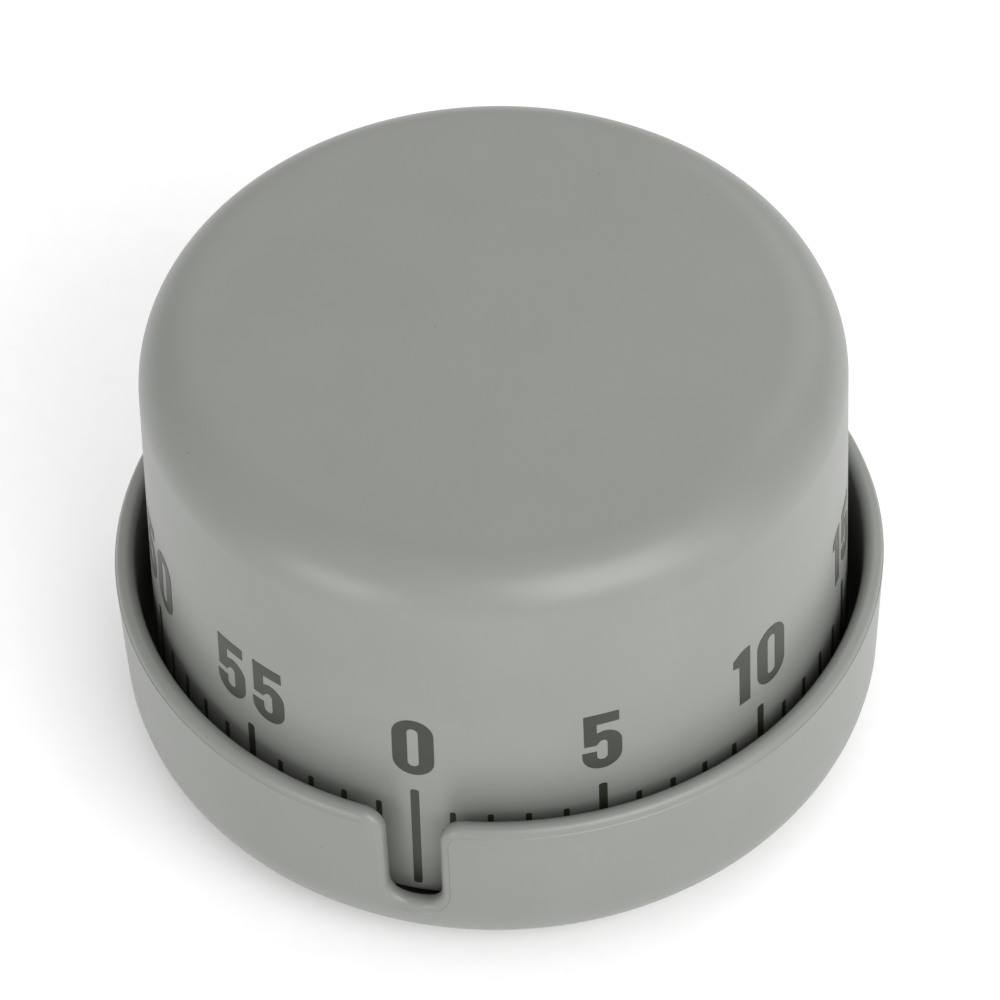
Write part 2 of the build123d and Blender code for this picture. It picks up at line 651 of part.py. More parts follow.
def hammer_tail():
    """Tail whose edge stands just off the star."""
    towards = math.degrees(direction(HAMMER_AT, FOURTH_AT))
    lean = math.degrees(math.asin((STAR_R + 0.1 + 0.45) / math.dist(HAMMER_AT, FOURTH_AT)))
    dx, dy = polar(8.4, towards + lean)
    tail = link(HAMMER_AT, (HAMMER_AT[0] + dx, HAMMER_AT[1] + dy), 0.45, *STAR_Z)
    tail += disc(1.6, STAR_Z[0] - 0.6, STAR_Z[1] + 0.6, HAMMER_AT)
    return tail - disc(HAMMER_R + PRESS, STAR_Z[0] - 2, STAR_Z[1] + 2, HAMMER_AT)


def hammer_arm():
    """Arm below the bottom plate, with a collar on the arbor, that carries the hammer head."""
    arm = disc(1.7, HAMMER_Z[0] + 0.6, HAMMER_Z[0] + 3.0, HAMMER_AT)
    arm += link(HAMMER_AT, HEAD_AT, 0.6, HAMMER_Z[0] + 1.3, HAMMER_Z[0] + 2.3)
    arm -= disc(HAMMER_R + PRESS, *LOWER_BORE, HAMMER_AT)
    return arm - disc(HEAD_R + PRESS, *LOWER_BORE, HEAD_AT)


def hammer_head():
    """Steel slug that strikes the rim of the bell."""
    return disc(HEAD_R, *HAMMER_Z, HEAD_AT)


def hammer_stop_arm():
    """Short arm on top of the hammer arbor; the release lever stands in its way."""
    tip = (HAMMER_AT[0] - 6.1, HAMMER_AT[1] + 2.25)
    arm = link(HAMMER_AT, tip, 0.7, *LEVER_Z) + disc(1.7, UPPER_Z + PLATE + 0.2, LEVER_Z[1], HAMMER_AT)
    return arm - disc(HAMMER_R + PRESS, *UPPER_BORE, HAMMER_AT)


def torsion_spring(at, inner, low, high, leg_angles, leg):
    """Flat-wound torsion spring: one ring of wire with two straight legs."""
    spring = washer(inner, inner + SPRING_WIRE, low, high, at)
    middle = inner + SPRING_WIRE / 2
    for degrees in leg_angles:
        start = (at[0] + polar(middle, degrees)[0], at[1] + polar(middle, degrees)[1])
        end = (start[0] + polar(leg, degrees + 80)[0], start[1] + polar(leg, degrees + 80)[1])
        spring += link(start, end, SPRING_WIRE / 2, low, high)
    return spring


def hammer_spring():
    """Return spring round the foot of the hammer arbor."""
    low = LOWER_Z + PLATE + 0.1
    return torsion_spring(HAMMER_AT, HAMMER_R + 0.25, low, low + 0.8, (20, 200), 3.0)


def release_lever():
    """Lever whose nose rides on the cam; its far end holds the hammer still while time runs."""
    low, high = LEVER_Z
    elbow = (0.0, -15.4)
    nose = (0.0, -(CAM_R + 0.6 + 0.1))
    stop_end = (HAMMER_AT[0] - 6.7, HAMMER_AT[1] + 4.05)
    lever = disc(2.2, low, high, LEVER_AT)
    lever += link(LEVER_AT, elbow, 1.1, low, high)
    lever += link(elbow, nose, 0.6, low, high)
    lever += link(elbow, stop_end, 0.8, low, high)
    return lever - disc(LEVER_STUD_R + RUN, low - 1, high + 1, LEVER_AT)


def lever_stud():
    """Shouldered stud riveted in the top plate; the release lever swings on it."""
    stud = disc(LEVER_RIVET_R, UPPER_Z, UPPER_Z + PLATE + 0.2, LEVER_AT)
    stud += disc(2.0, UPPER_Z + PLATE, LEVER_Z[0] - 0.08, LEVER_AT)
    stud += disc(LEVER_STUD_R, LEVER_Z[0] - 0.5, LEVER_Z[1] + 0.3, LEVER_AT)
    return stud + disc(1.9, LEVER_Z[1] + 0.08, LEVER_Z[1] + 0.6, LEVER_AT)


def lever_spring():
    """Torsion spring round the stud's shoulder that presses the lever's nose to the cam."""
    low = UPPER_Z + PLATE + 0.15
    return torsion_spring(LEVER_AT, 2.15, low, low + 0.7, (-60, 150), 5.0)


# ---------------------------------------------------------------- bell
def bell():
    """Pressed steel bell, open side up, hung under the bottom plate."""
    low, rim = BELL_LOW, BELL_RIM
    inner = BELL_TURN - BELL_WALL
    bend = BELL_R - BELL_TURN
    outer_middle = (bend + BELL_TURN * SLOPE, low + BELL_TURN * (1 - SLOPE))
    edges = [
        Line((BELL_BORE, low), (bend, low)),
        ThreePointArc((bend, low), outer_middle, (BELL_R, low + BELL_TURN)),
        Line((BELL_R, low + BELL_TURN), (BELL_R, rim)),
        Line((BELL_R, rim), (BELL_R - BELL_WALL, rim)),
        Line((BELL_R - BELL_WALL, rim), (BELL_R - BELL_WALL, low + BELL_TURN)),
        ThreePointArc((BELL_R - BELL_WALL, low + BELL_TURN),
                      (bend + inner * SLOPE, low + BELL_TURN - inner * SLOPE),
                      (bend, low + BELL_WALL)),
        Line((bend, low + BELL_WALL), (BELL_BORE, low + BELL_WALL)),
        Line((BELL_BORE, low + BELL_WALL), (BELL_BORE, low)),
    ]
    profile = Plane.XZ * make_face(Curve() + edges)
    return Pos(*BELL_CENTRE, 0) * revolve(profile, Axis.Z, 360)


def bell_post():
    """Post riveted flush in the bottom plate, tapped for the bell's screw."""
    post = disc(2.4, BELL_LOW + BELL_WALL, LOWER_Z, BELL_CENTRE)
    post += disc(BELL_BORE, LOWER_Z - 0.2, LOWER_Z + PLATE, BELL_CENTRE)
    return post - disc(BELL_THREAD_R, BELL_LOW, BELL_LOW + 5.5, BELL_CENTRE)


def bell_screw():
    """Screw that holds the bell to its post."""
    screw = disc(BELL_THREAD_R - PRESS, BELL_LOW - 0.2, BELL_LOW + 5.2, BELL_CENTRE)
    screw += disc(2.5, BELL_LOW - 1.2, BELL_LOW, BELL_CENTRE)
    x, y = BELL_CENTRE
    return screw - block((x - 3, x + 3), (y - 0.35, y + 0.35), (BELL_LOW - 2, BELL_LOW - 0.6))


# ---------------------------------------------------------------- write every node
def main():
    os.makedirs("parts", exist_ok=True)
    between_plates = (LOWER_Z + PLATE + END_SHAKE, UPPER_Z - END_SHAKE)
    nodes = {
        "base_cup": base_cup(),
        "non_slip_ring": non_slip_ring(),
        "dial_cap": dial_cap(),
        "movement_screws": movement_screws(),
        "bottom_plate": bottom_plate(),
        "top_plate": top_plate(),
        "pillars": pillars(),
        "pillar_nuts": pillar_nuts(),
        "main_arbor": main_arbor(),
        "wheel_clip": wheel_clip(),
        "mainspring": mainspring(),
        "spring_post": spring_post(),
        "letoff_cam": letoff_cam(),
        "ratchet_wheel": ratchet_wheel(),
        "great_wheel": great_wheel(),
        "click": click(),
        "click_rivet": click_rivet(),
        "click_spring": click_spring(),
        "second_arbor": pinion_arbor(MODULE_1, SECOND_LEAF_Z, SECOND_AT, SECOND_PHASE),
        "second_wheel": wheel(SECOND_TEETH, MODULE_2, SECOND_Z, SECOND_AT, 0, ARBOR_R + PRESS, WINDOW_2),
        "third_arbor": pinion_arbor(MODULE_2, THIRD_LEAF_Z, THIRD_AT, THIRD_PHASE),
        "third_wheel": wheel(THIRD_TEETH, MODULE_3, THIRD_Z, THIRD_AT, 0, ARBOR_R + PRESS, WINDOW_3),
        "fourth_arbor": pinion_arbor(MODULE_3, FOURTH_LEAF_Z, FOURTH_AT, FOURTH_PHASE),
        "fourth_wheel": wheel(FOURTH_TEETH, MODULE_4, FOURTH_Z, FOURTH_AT, 0, ARBOR_R + PRESS, WINDOW_4),
        "strike_star": strike_star(),
        "escape_arbor": pinion_arbor(MODULE_4, ESCAPE_LEAF_Z, ESCAPE_AT, ESCAPE_PHASE),
        "escape_wheel": escape_wheel(),
        "pallet_arbor": plain_arbor(ARBOR_R, *between_plates, PALLET_AT),
        "pallet_lever": pallet_lever(),
        "pallet_pins": pallet_pins(),
        "balance_bar": balance_bar(),
        "hammer_arbor": hammer_arbor(),
        "hammer_tail": hammer_tail(),
        "hammer_arm": hammer_arm(),
        "hammer_head": hammer_head(),
        "hammer_stop_arm": hammer_stop_arm(),
        "hammer_spring": hammer_spring(),
        "release_lever": release_lever(),
        "lever_stud": lever_stud(),
        "lever_spring": lever_spring(),
        "bell": bell(),
        "bell_post": bell_post(),
        "bell_screw": bell_screw(),
    }
    for name, shape in nodes.items():
        save(name, shape)


main()
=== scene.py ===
# %% [markdown]
# A clockwork kitchen timer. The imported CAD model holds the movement, the joints and every size. This
# lesson adds what the eye judges: smooth shells for the case and the dial, the printed minute scale,
# and a finish for each metal, rubber and plastic piece. The frame comes first, because every place below
# is read from it.

import json
import math

import bmesh
import bpy
from mathutils import Matrix, Vector


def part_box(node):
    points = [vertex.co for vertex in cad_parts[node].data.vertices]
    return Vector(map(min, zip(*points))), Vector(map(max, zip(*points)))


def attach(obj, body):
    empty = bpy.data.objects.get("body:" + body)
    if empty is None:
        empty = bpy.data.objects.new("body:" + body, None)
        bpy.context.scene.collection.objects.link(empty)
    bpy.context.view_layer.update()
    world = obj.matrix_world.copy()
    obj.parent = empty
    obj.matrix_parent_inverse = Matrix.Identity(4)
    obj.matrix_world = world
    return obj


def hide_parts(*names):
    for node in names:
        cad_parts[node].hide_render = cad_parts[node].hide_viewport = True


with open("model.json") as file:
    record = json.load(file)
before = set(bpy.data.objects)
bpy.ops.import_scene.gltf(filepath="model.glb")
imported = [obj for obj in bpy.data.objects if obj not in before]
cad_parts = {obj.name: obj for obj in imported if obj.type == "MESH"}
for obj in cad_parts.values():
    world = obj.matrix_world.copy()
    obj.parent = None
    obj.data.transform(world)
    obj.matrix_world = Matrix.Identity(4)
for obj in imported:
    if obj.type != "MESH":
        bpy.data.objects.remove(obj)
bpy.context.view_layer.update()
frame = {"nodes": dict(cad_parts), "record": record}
MM = 0.001

# %% [markdown]
# The camera looks down at about 47 degrees, a little to the right of the reading notch. Its lens is long,
# so the timer keeps the plain proportions of a catalogue picture. A camera can be aimed with a Track To
# constraint, but that leaves out roll, so it is built here from its three directions: back, side and top.
# The Standard view transform is chosen because it keeps a pale floor white, where AgX would dull it.

# %% Camera
LENS = 186.6
SENSOR = 36.0
CAMERA_AT = Vector((84.67, -333.14, 399.81)) * MM
TURN = math.radians(14.22)
ELEVATION = math.radians(47.419)
ROLL = math.radians(-1.852)

back = Vector((math.sin(TURN) * math.cos(ELEVATION), -math.cos(TURN) * math.cos(ELEVATION),
               math.sin(ELEVATION)))
level = Vector((math.cos(TURN), math.sin(TURN), 0.0))
upright = back.cross(level)
side = level * math.cos(ROLL) + upright * math.sin(ROLL)
top = upright * math.cos(ROLL) - level * math.sin(ROLL)
camera_data = bpy.data.cameras.new("camera")
camera_data.lens = LENS
camera_data.sensor_width = SENSOR
camera = bpy.data.objects.new("camera", camera_data)
camera.matrix_world = Matrix.Translation(CAMERA_AT) @ Matrix((side, top, back)).transposed().to_4x4()
bpy.context.scene.collection.objects.link(camera)
bpy.context.scene.camera = camera
bpy.context.scene.view_settings.view_transform = "Standard"
print("camera stands", round(CAMERA_AT.length / MM), "mm from the middle of the resting face")

# %% [markdown]
# Colours are written as the hex values that a paint chart or a picture editor shows, which are sRGB.
# Shaders add light, so they need linear values. One function converts. A second one adds a shader node
# with its settings and its links, so each material below reads as a short list of what it is made of.

# %% Colour and node helpers
def linear(hex_colour):
    """sRGB hex to the linear RGBA that a shader socket takes."""
    parts = [int(hex_colour[k:k + 2], 16) / 255 for k in (1, 3, 5)]
    return [v / 12.92 if v <= 0.04045 else ((v + 0.055) / 1.055) ** 2.4 for v in parts] + [1.0]


def add(tree, kind, links=None, **settings):
    """Add a node; settings name its attributes or input sockets, links map sockets to outputs."""
    node = tree.nodes.new(kind)
    for name, value in settings.items():
        label = name.replace("_", " ").title() if not hasattr(node, name) else None
        if label is None:
            setattr(node, name, value)
        else:
            node.inputs[label].default_value = value
    for socket, output in (links or {}).items():
        tree.links.new(output, node.inputs[socket])
    return node


def new_material(name):
    """Empty material with a principled shader and its output."""
    material = bpy.data.materials.new(name)
    material.use_nodes = True
    tree = material.node_tree
    return material, tree, tree.nodes["Principled BSDF"]


def ramp(tree, factor, stops):
    """Colour ramp over a factor; stops are (position, RGBA)."""
    node = add(tree, "ShaderNodeValToRGB", {"Fac": factor})
    node.color_ramp.elements[0].position, node.color_ramp.elements[0].color = stops[0]
    node.color_ramp.elements[1].position, node.color_ramp.elements[1].color = stops[-1]
    for position, colour in stops[1:-1]:
        node.color_ramp.elements.new(position).color = colour
    return node.outputs["Color"]


def grey(value):
    """Neutral RGBA."""
    return (value, value, value, 1.0)


# %% [markdown]
# The case and dial are injection-moulded ABS in a warm mid grey. The mould was spark-eroded to a fine
# matt grain, so light spreads into soft streaks and never mirrors. The grain is about 0.12 mm, drawn at
# 0.3 mm so that it shows, and a slow mottle of a few millimetres stands for the flow of the plastic. A
# few specks of dust sit on it. A noise texture could drive all three at once, but three separate ones let
# each keep its own size. The case is the same ABS painted a hair darker than the dial, as painted shade.

# %% Moulded plastic
GRAIN_MM = 0.3
GRAIN_DEPTH_MM = 0.02
MOTTLE_MM = 9.0
SPECK_MM = 4.5
SHEEN_SPREAD = 0.06


def moulded_abs(name, colour, darker, roughness):
    """Through-coloured matt ABS from a spark-eroded mould."""
    material, tree, shader = new_material(name)
    place = add(tree, "ShaderNodeTexCoord").outputs["Object"]
    grain = add(tree, "ShaderNodeTexNoise", {"Vector": place}, scale=1 / (GRAIN_MM * MM), detail=2.0)
    mottle = add(tree, "ShaderNodeTexNoise", {"Vector": place}, scale=1 / (MOTTLE_MM * MM), detail=3.0)
    specks = add(tree, "ShaderNodeTexVoronoi", {"Vector": place}, scale=1 / (SPECK_MM * MM))
    dust = ramp(tree, specks.outputs["Distance"], [(0.012, grey(0.45)), (0.022, grey(1.0))])
    tone = ramp(tree, mottle.outputs["Fac"], [(0.35, linear(darker)), (0.65, linear(colour))])
    dusty = add(tree, "ShaderNodeMix", data_type="RGBA", blend_type="MULTIPLY")
    dusty.inputs["Factor"].default_value = 1.0
    tree.links.new(tone, dusty.inputs["A"])
    tree.links.new(dust, dusty.inputs["B"])
    tree.links.new(dusty.outputs["Result"], shader.inputs["Base Color"])
    sheen = add(tree, "ShaderNodeMapRange", {"Value": grain.outputs["Fac"]},
                to_min=roughness - SHEEN_SPREAD, to_max=roughness + SHEEN_SPREAD)
    tree.links.new(sheen.outputs["Result"], shader.inputs["Roughness"])
    relief = add(tree, "ShaderNodeBump", {"Height": grain.outputs["Fac"]}, strength=0.22,
                 distance=GRAIN_DEPTH_MM * MM)
    tree.links.new(relief.outputs["Normal"], shader.inputs["Normal"])
    shader.inputs["IOR"].default_value = 1.53
    return material


dial_plastic = moulded_abs("dial_moulded_abs", "#7C7E79", "#7A7C77", 0.36)
# the case's copy of the ABS is painted a hair darker than the dial's: painted shade
case_plastic_painted_shade = moulded_abs("case_abs_painted_shade", "#797B76", "#777974", 0.36)
print("moulded plastic grain", GRAIN_MM, "mm")

# %% [markdown]
# The scale is pad-printed in one dark olive-grey ink. Printed ink lies a few hundredths of a millimetre
# proud, hides the moulded grain under it, and lets its own faint unevenness show. One flat colour would
# nearly do for so dark a print, but a little noise in its colour and gloss keeps it from looking cut out.

# %% Printing ink
COVER_MM = 1.6


def printing_ink(name, colour, darker):
    """Pad-printing ink on plastic."""
    material, tree, shader = new_material(name)
    place = add(tree, "ShaderNodeTexCoord").outputs["Object"]
    cover = add(tree, "ShaderNodeTexNoise", {"Vector": place}, scale=1 / (COVER_MM * MM), detail=4.0)
    tone = ramp(tree, cover.outputs["Fac"], [(0.35, linear(darker)), (0.7, linear(colour))])
    tree.links.new(tone, shader.inputs["Base Color"])
    gloss = add(tree, "ShaderNodeMapRange", {"Value": cover.outputs["Fac"]}, to_min=0.36, to_max=0.46)
    tree.links.new(gloss.outputs["Result"], shader.inputs["Roughness"])
    return material


ink = printing_ink("pad_printing_ink", "#262A1E", "#22261B")
print("ink patches", COVER_MM, "mm")

# %% [markdown]
# The movement is a mixture of stamped brass wheels, turned steel arbors, plated steel plates and blued
# springs. Each has a base colour from the metal itself, and its roughness comes from how it was made: a
# rolled or brushed sheet keeps a fine grain in one direction, and turned, zinc-plated and polished pieces
# have an even one. One plain metal could serve them all, but the stretched noise is what tells a sheet
# from a bar. The rubber of the ring is dull, and its skin has no direction.

# %% Metals and rubber
PATCH_MM = 6.0
MARK_DEPTH_MM = 0.01
SKIN_MM = 0.5
SKIN_DEPTH_MM = 0.05


def worked_metal(name, colour, darker, roughness, grain_mm, stretch):
    """Metal whose tool marks are a noise that is stretched along one axis."""
    material, tree, shader = new_material(name)
    place = add(tree, "ShaderNodeTexCoord").outputs["Object"]
    drawn = add(tree, "ShaderNodeMapping", {"Vector": place})
    drawn.inputs["Scale"].default_value = (1.0, stretch, 1.0)
    marks = add(tree, "ShaderNodeTexNoise", {"Vector": drawn.outputs["Vector"]},
                scale=1 / (grain_mm * MM), detail=3.0)
    patches = add(tree, "ShaderNodeTexNoise", {"Vector": place}, scale=1 / (PATCH_MM * MM), detail=2.0)
    tone = ramp(tree, patches.outputs["Fac"], [(0.3, linear(darker)), (0.7, linear(colour))])
    tree.links.new(tone, shader.inputs["Base Color"])
    polish = add(tree, "ShaderNodeMapRange", {"Value": marks.outputs["Fac"]},
                 to_min=roughness * 0.7, to_max=roughness * 1.3)
    tree.links.new(polish.outputs["Result"], shader.inputs["Roughness"])
    relief = add(tree, "ShaderNodeBump", {"Height": marks.outputs["Fac"]}, strength=0.15,
                 distance=MARK_DEPTH_MM * MM)
    tree.links.new(relief.outputs["Normal"], shader.inputs["Normal"])
    shader.inputs["Metallic"].default_value = 1.0
    return material


def moulded_rubber(name, colour, darker):
    """Black rubber with a dull, slightly dusty skin."""
    material, tree, shader = new_material(name)
    place = add(tree, "ShaderNodeTexCoord").outputs["Object"]
    skin = add(tree, "ShaderNodeTexNoise", {"Vector": place}, scale=1 / (SKIN_MM * MM), detail=4.0)
    tone = ramp(tree, skin.outputs["Fac"], [(0.3, linear(darker)), (0.75, linear(colour))])
    tree.links.new(tone, shader.inputs["Base Color"])
    relief = add(tree, "ShaderNodeBump", {"Height": skin.outputs["Fac"]}, strength=0.3,
                 distance=SKIN_DEPTH_MM * MM)
    tree.links.new(relief.outputs["Normal"], shader.inputs["Normal"])
    shader.inputs["Roughness"].default_value = 0.8
    return material


# a metal: its colours, roughness, grain in millimetres, and how far the grain is stretched
finishes = {
    "grey_plastic": case_plastic_painted_shade,
    "black_rubber": moulded_rubber("moulded_rubber", "#2B2B2A", "#1D1D1C"),
    "plated_steel": worked_metal("nickel_plated_steel", "#C9C7C0", "#BBB9B3", 0.30, 0.25, 8.0),
    "zinc_steel": worked_metal("zinc_plated_steel", "#B9BDC2", "#A7ABB2", 0.34, 0.2, 1.0),
    "bright_steel": worked_metal("turned_steel", "#C4C5C7", "#B4B5B7", 0.18, 0.12, 1.0),
    "spring_steel": worked_metal("blued_spring_steel", "#4B5261", "#3D434F", 0.28, 0.3, 4.0),
    "brass": worked_metal("stamped_brass", "#D9B562", "#C8A24F", 0.30, 0.25, 6.0),
    "nickel_bell": worked_metal("polished_nickel", "#CFCBC2", "#C2BEB5", 0.12, 0.4, 1.0),
}
for part in frame["record"]["subparts"]:
    node = frame["nodes"][part["node"]]
    node.data.materials.clear()
    node.data.materials.append(finishes[part["material_slot"]])

# %% [markdown]
# Round pieces are spun: a profile is drawn once in the plane through the axis and swept round it. These
# helpers draw a flat face from corner points, round chosen corners with a vertex bevel, and either spin
# its outline or give it a thickness. The rounding is true in section before there is any surface, which a
# bevel on a finished shell only comes near to.

# %% Helpers for spun and wrapped pieces
SPIN_STEPS = 240
TOUCH = 1e-4                # points this close are the same point, in millimetres
ON_PLANE = 1e-5             # a corner this near a cutting plane is on it


def finish_mesh(bm, name, material, body):
    """Turn a bmesh in millimetres into an object in metres that rides on a body."""
    bmesh.ops.scale(bm, vec=(MM, MM, MM), verts=bm.verts)
    mesh = bpy.data.meshes.new(name)
    bm.to_mesh(mesh)
    bm.free()
    mesh.materials.append(material)
    piece = bpy.data.objects.new(name, mesh)
    bpy.context.scene.collection.objects.link(piece)
    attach(piece, body)
    print(name, len(mesh.polygons), "faces")
    return piece


def rounded_face(bm, corners):
    """Flat face in the XZ plane; a corner is (x, z), or (x, z, radius, segments) to round it."""
    verts = [bm.verts.new((corner[0], 0.0, corner[1])) for corner in corners]
    bm.faces.new(verts)
    for vert, corner in zip(verts, corners):
        if len(corner) > 2:
            bmesh.ops.bevel(bm, geom=[vert], offset=corner[2], offset_type="OFFSET", affect="VERTICES",
                            segments=corner[3], profile=0.5, material=-1)


def spin_profile(bm, corners, steps=SPIN_STEPS):
    """Spin a closed profile round Z into a solid of revolution."""
    rounded_face(bm, corners)
    bmesh.ops.delete(bm, geom=bm.faces[:], context="FACES_ONLY")
    on_axis = [edge for edge in bm.edges if all(abs(v.co.x) < TOUCH for v in edge.verts)]
    bmesh.ops.delete(bm, geom=on_axis, context="EDGES_FACES")
    bmesh.ops.spin(bm, geom=bm.edges[:] + bm.verts[:], cent=(0, 0, 0), axis=(0, 0, 1),
                   angle=2 * math.pi, steps=steps, use_merge=True)
    bmesh.ops.remove_doubles(bm, verts=bm.verts, dist=TOUCH)
    bmesh.ops.recalc_face_normals(bm, faces=bm.faces)


def thicken(bm, faces, along):
    """Extrude faces along a vector."""
    grown = bmesh.ops.extrude_face_region(bm, geom=faces)["geom"]
    bmesh.ops.translate(bm, vec=along, verts=[v for v in grown if isinstance(v, bmesh.types.BMVert)])


def fill_outlines(bm):
    """Fill nested outlines, so that an outline inside another one is a hole."""
    bmesh.ops.delete(bm, geom=bm.faces[:], context="FACES_ONLY")
    bmesh.ops.triangle_fill(bm, use_beauty=True, edges=bm.edges[:])


def join_in(target, bm):
    """Add a shell to another mesh, with its faces turned outwards, and free it."""
    bmesh.ops.recalc_face_normals(bm, faces=bm.faces)
    holder = bpy.data.meshes.new("shell")
    bm.to_mesh(holder)
    bm.free()
    target.from_mesh(holder)
    bpy.data.meshes.remove(holder)


def slice_flat(bm, low, high, count, normal):
    """Cut a flat piece into strips by parallel planes, so that it can be bent."""
    for k in range(1, count):
        place = Vector(normal) * (low + (high - low) * k / count)
        bmesh.ops.bisect_plane(bm, geom=bm.verts[:] + bm.edges[:] + bm.faces[:], plane_co=place,
                               plane_no=normal, dist=ON_PLANE)


def shade_smooth(piece, degrees):
    """Smooth shading, with edges sharper than an angle kept crisp."""
    for polygon in piece.data.polygons:
        polygon.use_smooth = True
    piece.data.set_sharp_from_angle(angle=math.radians(degrees))


# %% [markdown]
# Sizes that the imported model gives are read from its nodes' boxes. The rest repeat the CAD's own values,
# because a box can't tell a wall's thickness or a corner's round. Only the round of the rim is a little
# larger than the CAD's, so that it catches the light as a moulded edge does.

# %% Sizes of the case and dial, in millimetres
case_low, case_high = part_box("base_cup")
cap_low, cap_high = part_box("dial_cap")
MOVEMENT_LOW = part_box("bottom_plate")[0][2] / MM
CASE_R = case_high[0] / MM
CASE_TOP = case_high[2] / MM
CASE_UNDER = case_low[2] / MM
CASE_WALL = 2.0
CASE_DRAFT = 0.3
CASE_ROUND = 8.3
CASE_FLOOR = 2.8
RIM_ROUND = 0.92
RING_IN = 24.5
RING_OUT = 28.0
RING_DEPTH = 1.0
NOTCH_HALF = 2.7
NOTCH_BOTTOM = 8.4
NOTCH_CORNER = 2.4
CAP_TOP = cap_high[2] / MM
CAP_BOTTOM = cap_low[2] / MM
CAP_R_BOTTOM = 34.7
CAP_R_TOP = 33.84
CAP_WALL = 2.0
CAP_ROUND = 6.0
print("rim radius", round(CASE_R, 2), "height", round(CAP_TOP, 2))

# %% [markdown]
# The case is a cup. Its wall has a U-shaped reading notch whose edges are softly rounded, which a spun
# wall can't have, and a Boolean would leave ragged faces to bevel. So the wall is modelled unrolled, as a
# flat strip: the notch is drawn in its outline, the strip is thickened, and its edges are bevelled while
# everything is still flat. An inset then lifts the outer face by a hair inside the round, because the
# mould's parting line leaves such a fine step along the rim. Last, thin columns are cut and the strip is
# bent into a ring. The strip starts a little too long, and its ends are cut off clean where they meet.

# %% Case wall, drawn flat and bent round
ROUND_STEPS = 12
RIM_STEPS = 5
STEP_HIGH = 0.1
STEP_WIDE = 0.1
SPARE = 2.0                 # how much longer the strip starts
MOST_CORNERS = 8            # faces with more corners than this are cut up before the strip is bent
WALL_LOW = CASE_UNDER + CASE_ROUND
QUARTER = CASE_ROUND * math.pi / 2


def case_section(height, depth):
    """Radius and height of a point of the wall; below the straight part the strip turns under."""
    foot_r = CASE_R - CASE_DRAFT
    if height >= WALL_LOW:
        rise = (height - WALL_LOW) / (CASE_TOP - WALL_LOW)
        return foot_r + CASE_DRAFT * rise - depth, height
    turn = (WALL_LOW - height) / CASE_ROUND
    reach = CASE_ROUND - depth
    thicker_floor = (CASE_FLOOR - CASE_UNDER - CASE_WALL) * depth / CASE_WALL * math.sin(turn)
    return foot_r - CASE_ROUND + reach * math.cos(turn), WALL_LOW - reach * math.sin(turn) + thicker_floor


def case_wall(bm):
    """Ring-shaped wall and bottom round, with the notch at -Y."""
    end = math.pi * CASE_R
    foot = WALL_LOW - QUARTER
    outline = [(-end - SPARE, foot - SPARE), (end + SPARE, foot - SPARE), (end + SPARE, CASE_TOP),
               (NOTCH_HALF, CASE_TOP, NOTCH_CORNER, ROUND_STEPS),
               (NOTCH_HALF, NOTCH_BOTTOM, NOTCH_CORNER, ROUND_STEPS),
               (-NOTCH_HALF, NOTCH_BOTTOM, NOTCH_CORNER, ROUND_STEPS),
               (-NOTCH_HALF, CASE_TOP, NOTCH_CORNER, ROUND_STEPS),
               (-end - SPARE, CASE_TOP)]
    rounded_face(bm, outline)
    bmesh.ops.translate(bm, vec=(0, STEP_HIGH, 0), verts=bm.verts)
    thicken(bm, bm.faces[:], (0, CASE_WALL - STEP_HIGH, 0))
    bmesh.ops.recalc_face_normals(bm, faces=bm.faces)
    edges = [edge for edge in bm.edges if abs(edge.verts[0].co.y - edge.verts[1].co.y) < TOUCH]
    bmesh.ops.bevel(bm, geom=edges, offset=RIM_ROUND, offset_type="OFFSET", affect="EDGES",
                    segments=RIM_STEPS, profile=0.5, material=-1, clamp_overlap=False)
    outside = [face for face in bm.faces if all(v.co.y < STEP_HIGH + TOUCH for v in face.verts)]
    bmesh.ops.inset_region(bm, faces=outside, use_boundary=True, use_even_offset=True,
                           thickness=STEP_WIDE, depth=STEP_HIGH)
    for place, normal in [((end, 0, 0), (1, 0, 0)), ((-end, 0, 0), (-1, 0, 0)), ((0, 0, foot), (0, 0, -1))]:
        bmesh.ops.bisect_plane(bm, geom=bm.verts[:] + bm.edges[:] + bm.faces[:], plane_co=place,
                               plane_no=normal, clear_outer=True, dist=ON_PLANE)
    bmesh.ops.triangulate(bm, faces=[face for face in bm.faces if len(face.verts) > MOST_CORNERS])
    slice_flat(bm, -end, end, SPIN_STEPS, (1, 0, 0))
    slice_flat(bm, foot, WALL_LOW, ROUND_STEPS, (0, 0, 1))
    for vert in bm.verts:
        angle = vert.co.x / CASE_R
        radius, height = case_section(vert.co.z, vert.co.y)
        vert.co = Vector((radius * math.sin(angle), -radius * math.cos(angle), height))
    print("the wall's foot turns in to radius", round(min(v.co.xy.length for v in bm.verts), 2), "mm")


# %% [markdown]
# The floor of the cup has a groove underneath for the rubber ring, sixteen radial slots that let the bell
# be heard, and three hollow bosses that the movement is screwed to. The plain part is two spun chains of
# edges. The slotted part is a filled drawing: a circle with rounded boxes inside it, extruded. Slots could
# also be cut with a Boolean, but a filled outline gives clean edges at once.

# %% Floor, sound slots and screw bosses
SOUND_SLOTS = 16
SLOT_FROM = 9.0
SLOT_TO = 17.5
SLOT_HALF = 0.8
BOSS_R = 2.8
BOSS_PCR = 28.0
BOSS_ANGLES = (40, 160, 280)
SCREW_R = 1.1
SCREW_FROM = CASE_FLOOR + 1.5
BOSS_EDGE = 0.2
BOSS_STEPS = 32
SLOT_STEPS = 6
SINK = 0.3                  # how far a boss reaches into the floor, so that the shells overlap


